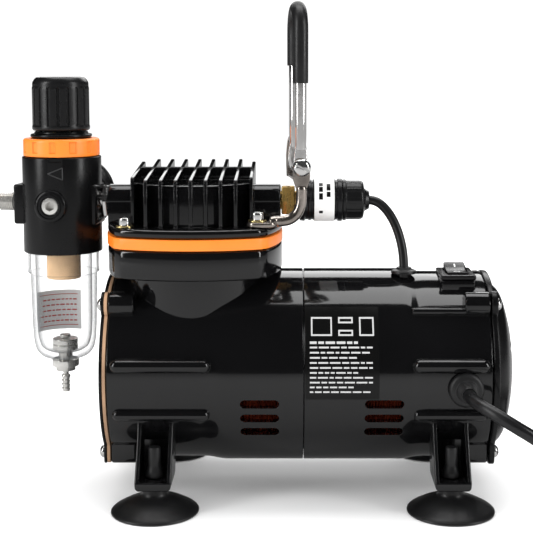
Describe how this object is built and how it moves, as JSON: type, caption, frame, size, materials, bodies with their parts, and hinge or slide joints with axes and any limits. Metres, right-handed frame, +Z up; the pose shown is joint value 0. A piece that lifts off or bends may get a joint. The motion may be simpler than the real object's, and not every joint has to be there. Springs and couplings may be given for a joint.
{
  "type": "airbrush compressor",
  "caption": "Small piston compressor for airbrushing: black motor housing on suction feet, finned head, filter-regulator with clear bowl, folding wire handle and mains lead.",
  "frame": {"origin": "on the surface it stands on, under the middle of the compressor's outline without its mains lead", "axes": "+X to the right along the motor shaft, away from the filter-regulator; +Y to the back, where the gauge faces; +Z up"},
  "size_m": [0.3912, 0.1651, 0.2431],
  "materials": {
    "gloss_black": "deep glossy black enamel on die-cast aluminium",
    "cast_black": "satin black enamel, slightly grained",
    "black_plastic": "fine moulded texture",
    "black_rubber": "soft satin rubber",
    "orange": "satin orange",
    "chrome": "bright nickel-chrome plating",
    "plain_steel": "turned, lightly worn",
    "brass": "turned brass",
    "copper": "red enamelled copper wire",
    "cast_aluminium": "cast and machined",
    "lamination_steel": "stacked sheet steel",
    "tan_gasket": "fibre gasket paper",
    "white_plastic": "smooth white",
    "sintered_bronze": "porous sintered grains",
    "clear_bowl": "clear moulded plastic",
    "red_enamel": "red enamel"
  },
  "bodies": {
    "root": {"front_housing": "gloss_black", "rear_housing": "gloss_black", "front_gasket": "tan_gasket", "front_cover": "cast_black", "rear_cover": "cast_black", "suction_foot_left_front": "black_rubber", "suction_foot_left_back": "black_rubber", "suction_foot_right_front": "black_rubber", "suction_foot_right_back": "black_rubber", "stator_laminations": "lamination_steel", "stator_winding_front": "copper", "stator_winding_rear": "copper", "bearing_front": "plain_steel", "bearing_rear": "plain_steel", "cylinder_block": "gloss_black", "cylinder_liner": "plain_steel", "valve_plate": "plain_steel", "orange_seal_plate": "orange", "finned_head": "gloss_black", "port_fitting": "brass", "pressure_switch": "black_plastic", "pressure_switch_cap": "black_plastic", "pressure_switch_cable": "black_rubber", "cable_grommet": "black_rubber", "handle_bracket": "chrome", "handle_pivot_screw": "chrome", "head_screw_front_left": "chrome", "head_screw_front_right": "chrome", "head_screw_back_left": "chrome", "head_screw_back_right": "chrome", "regulator_body": "cast_black", "regulator_ring": "orange", "filter_bowl": "clear_bowl", "filter_element": "sintered_bronze", "drain_nut": "plain_steel", "outlet_stub": "plain_steel", "front_port_plug": "plain_steel", "inlet_nipple": "plain_steel", "gauge_case": "cast_black", "gauge_lens": "clear_bowl", "rocker_frame": "black_plastic", "lead_grommet": "black_rubber", "mains_lead": "black_rubber", "lead_coil": "black_rubber", "mains_plug": "black_rubber"},
    "rotor_group": {"rotor": "cast_aluminium", "rotor_shaft": "plain_steel", "cooling_fan": "black_plastic", "crank": "plain_steel"},
    "piston_group": {"connecting_rod": "cast_aluminium", "piston": "cast_aluminium", "piston_ring": "white_plastic", "wrist_pin": "plain_steel"},
    "spindle": {"regulator_spindle": "brass"},
    "knob": {"regulator_knob": "black_plastic"},
    "drain": {"drain_valve": "plain_steel"},
    "needle": {"gauge_needle": "red_enamel"},
    "rocker": {"rocker_button": "black_plastic"},
    "handle": {"handle_wire": "chrome", "handle_sleeve": "black_rubber"}
  },
  "joints": [
    {"name": "shaft_spin", "type": "hinge", "parent": "root", "child": "rotor_group", "pos_m": [0, 0, 0.061], "axis": [1, 0, 0], "continuous": true},
    {"name": "piston_stroke", "type": "slide", "parent": "root", "child": "piston_group", "axis": [0, 0, 1], "range_m": [-0.004, 0.004]},
    {"name": "spindle_turn", "type": "hinge", "parent": "root", "child": "spindle", "pos_m": [-0.0967, 0, 0.18], "axis": [0, 0, 1], "range_deg": [-540, 540]},
    {"name": "knob_lift", "type": "slide", "parent": "spindle", "child": "knob", "axis": [0, 0, 1], "range_m": [0, 0.003]},
    {"name": "drain_push", "type": "slide", "parent": "root", "child": "drain", "axis": [0, 0, 1], "range_m": [0, 0.002], "stiffness_N_per_m": 300, "springref_m": -0.002},
    {"name": "needle_turn", "type": "hinge", "parent": "root", "child": "needle", "pos_m": [-0.0967, 0.0448, 0.1435], "axis": [0, -1, 0], "range_deg": [0, 270]},
    {"name": "rocker_tilt", "type": "hinge", "parent": "root", "child": "rocker", "pos_m": [0.101, -0.0095, 0.1087], "axis": [-1, 0, 0], "range_deg": [0, 16]},
    {"name": "handle_fold", "type": "hinge", "parent": "root", "child": "handle", "pos_m": [0.0232, -0.025, 0.1632], "axis": [-0.1219, 0.9925, 0], "range_deg": [-75, 90]}
  ]
}
